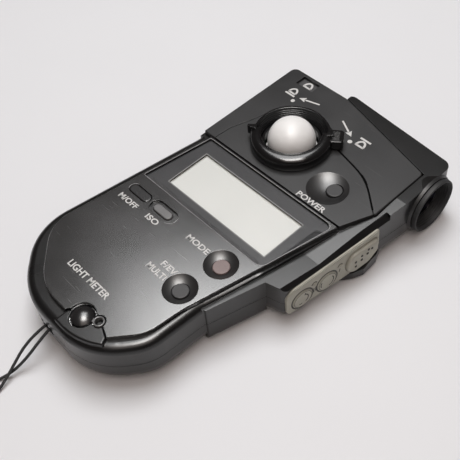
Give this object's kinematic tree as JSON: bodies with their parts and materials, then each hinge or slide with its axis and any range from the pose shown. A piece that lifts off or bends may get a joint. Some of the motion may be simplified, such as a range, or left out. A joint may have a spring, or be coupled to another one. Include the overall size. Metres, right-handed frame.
{
  "type": "handheld light meter",
  "caption": "Handheld light meter with display, white incident dome in a turning ring, side keypad, finder eyepiece, sync terminal cap and wrist strap.",
  "frame": {"origin": "middle of the back, on the surface it lies on, wrist strap left out", "axes": "+X towards the eyepiece side, +Y towards the head, +Z out of the control panel"},
  "size_m": [0.1052, 0.2178, 0.0374],
  "materials": {
    "casing": "fine textured black moulding",
    "panel": "satin black",
    "window": "clear polished",
    "mask": "gloss black",
    "display": "pale grey-green",
    "frame_plastic": "satin",
    "board": "solder mask",
    "switch": "satin",
    "button": "satin",
    "warm_button": "satin",
    "keypad": "satin",
    "dome": "satin white",
    "ring": "semi-gloss",
    "glass": "coated",
    "rubber": "matte",
    "metal": "plated",
    "brass": "turned",
    "cell": "printed sleeve",
    "cord": "braided"
  },
  "bodies": {
    "casing": {"front_shell": "casing", "rear_shell": "casing", "control_panel": "panel", "bezel_plate": "panel", "head_cover": "casing", "display_window": "window", "window_mask": "mask", "lcd_panel": "display", "display_holder": "frame_plastic", "lcd_connectors": "rubber", "main_board": "board", "tact_switches": "switch", "side_keypad": "keypad", "side_board": "board", "side_switches": "switch", "dome_guide": "ring", "photocell": "switch", "photocell_filter": "glass", "finder_bezel": "casing", "eyepiece_tube": "ring", "eyepiece_lens": "glass", "mirror_block": "frame_plastic", "finder_sensor": "switch", "finder_barrel": "ring", "objective_lens": "glass", "objective_bezel": "ring", "sync_socket": "metal", "cap_screw": "metal", "battery": "cell", "battery_box": "frame_plastic", "battery_spring": "metal", "battery_contact": "metal", "tripod_bush": "brass", "housing_screws": "metal", "strap_lug": "metal", "strap_strand_a": "cord", "strap_strand_b": "cord", "strap_coil": "cord", "strap_tie": "rubber"},
    "ring": {"lumisphere_ring": "ring"},
    "dome": {"lumisphere": "dome", "dome_carrier": "ring"},
    "mode_key": {"mode_button": "warm_button"},
    "multi_key": {"multi_button": "button"},
    "power_key": {"power_button": "button"},
    "off_key": {"off_button": "ring"},
    "iso_key": {"iso_button": "button"},
    "down_key": {"lower_key": "keypad"},
    "up_key": {"upper_key": "keypad"},
    "measure_key": {"measure_button": "keypad"},
    "selector": {"eyepiece_cup": "rubber"},
    "indicator": {"indicator_plate": "mask"},
    "terminal_cap": {"sync_cap": "ring", "cap_tether": "ring"},
    "door": {"battery_door": "casing"}
  },
  "joints": [
    {"name": "ring_turn", "type": "hinge", "parent": "casing", "child": "ring", "pos_m": [-0.00865, 0.0435, 0.029], "axis": [0, 0, 1], "range_deg": [0, 90]},
    {"name": "dome_lift", "type": "slide", "parent": "casing", "child": "dome", "axis": [0, 0, 1], "range_m": [0, 0.004]},
    {"name": "mode_press", "type": "slide", "parent": "casing", "child": "mode_key", "axis": [0, 0, -1], "range_m": [0, 0.0006], "stiffness_N_per_m": 900},
    {"name": "multi_press", "type": "slide", "parent": "casing", "child": "multi_key", "axis": [0, 0, -1], "range_m": [0, 0.0006], "stiffness_N_per_m": 900},
    {"name": "power_press", "type": "slide", "parent": "casing", "child": "power_key", "axis": [0, 0, -1], "range_m": [0, 0.0006], "stiffness_N_per_m": 900},
    {"name": "off_press", "type": "slide", "parent": "casing", "child": "off_key", "axis": [0, 0, -1], "range_m": [0, 0.0006], "stiffness_N_per_m": 900},
    {"name": "iso_press", "type": "slide", "parent": "casing", "child": "iso_key", "axis": [0, 0, -1], "range_m": [0, 0.0006], "stiffness_N_per_m": 900},
    {"name": "down_press", "type": "slide", "parent": "casing", "child": "down_key", "axis": [-0.9932, 0.1166, 0], "range_m": [0, 0.0005], "stiffness_N_per_m": 900},
    {"name": "up_press", "type": "slide", "parent": "casing", "child": "up_key", "axis": [-0.9932, 0.1166, 0], "range_m": [0, 0.0005], "stiffness_N_per_m": 900},
    {"name": "measure_press", "type": "slide", "parent": "casing", "child": "measure_key", "axis": [-0.9932, 0.1166, 0], "range_m": [0, 0.0005], "stiffness_N_per_m": 900},
    {"name": "selector_turn", "type": "hinge", "parent": "casing", "child": "selector", "pos_m": [0.05065, 0.0652, 0.0136], "axis": [1, 0, 0], "range_deg": [0, 60]},
    {"name": "indicator_slide", "type": "slide", "parent": "casing", "child": "indicator", "axis": [1, 0, 0], "range_m": [0, 0.008]},
    {"name": "cap_lift", "type": "slide", "parent": "casing", "child": "terminal_cap", "axis": [0, 0, 1], "range_m": [0, 0.004]},
    {"name": "door_slide", "type": "slide", "parent": "casing", "child": "door", "axis": [-0.165, -0.9863, 0], "range_m": [0, 0.008]}
  ],
  "couplings": [
    {"joint": "dome_lift", "follows": "ring_turn", "m_per_rad": 0.0025465},
    {"joint": "indicator_slide", "follows": "selector_turn", "m_per_rad": 0.0076394}
  ]
}
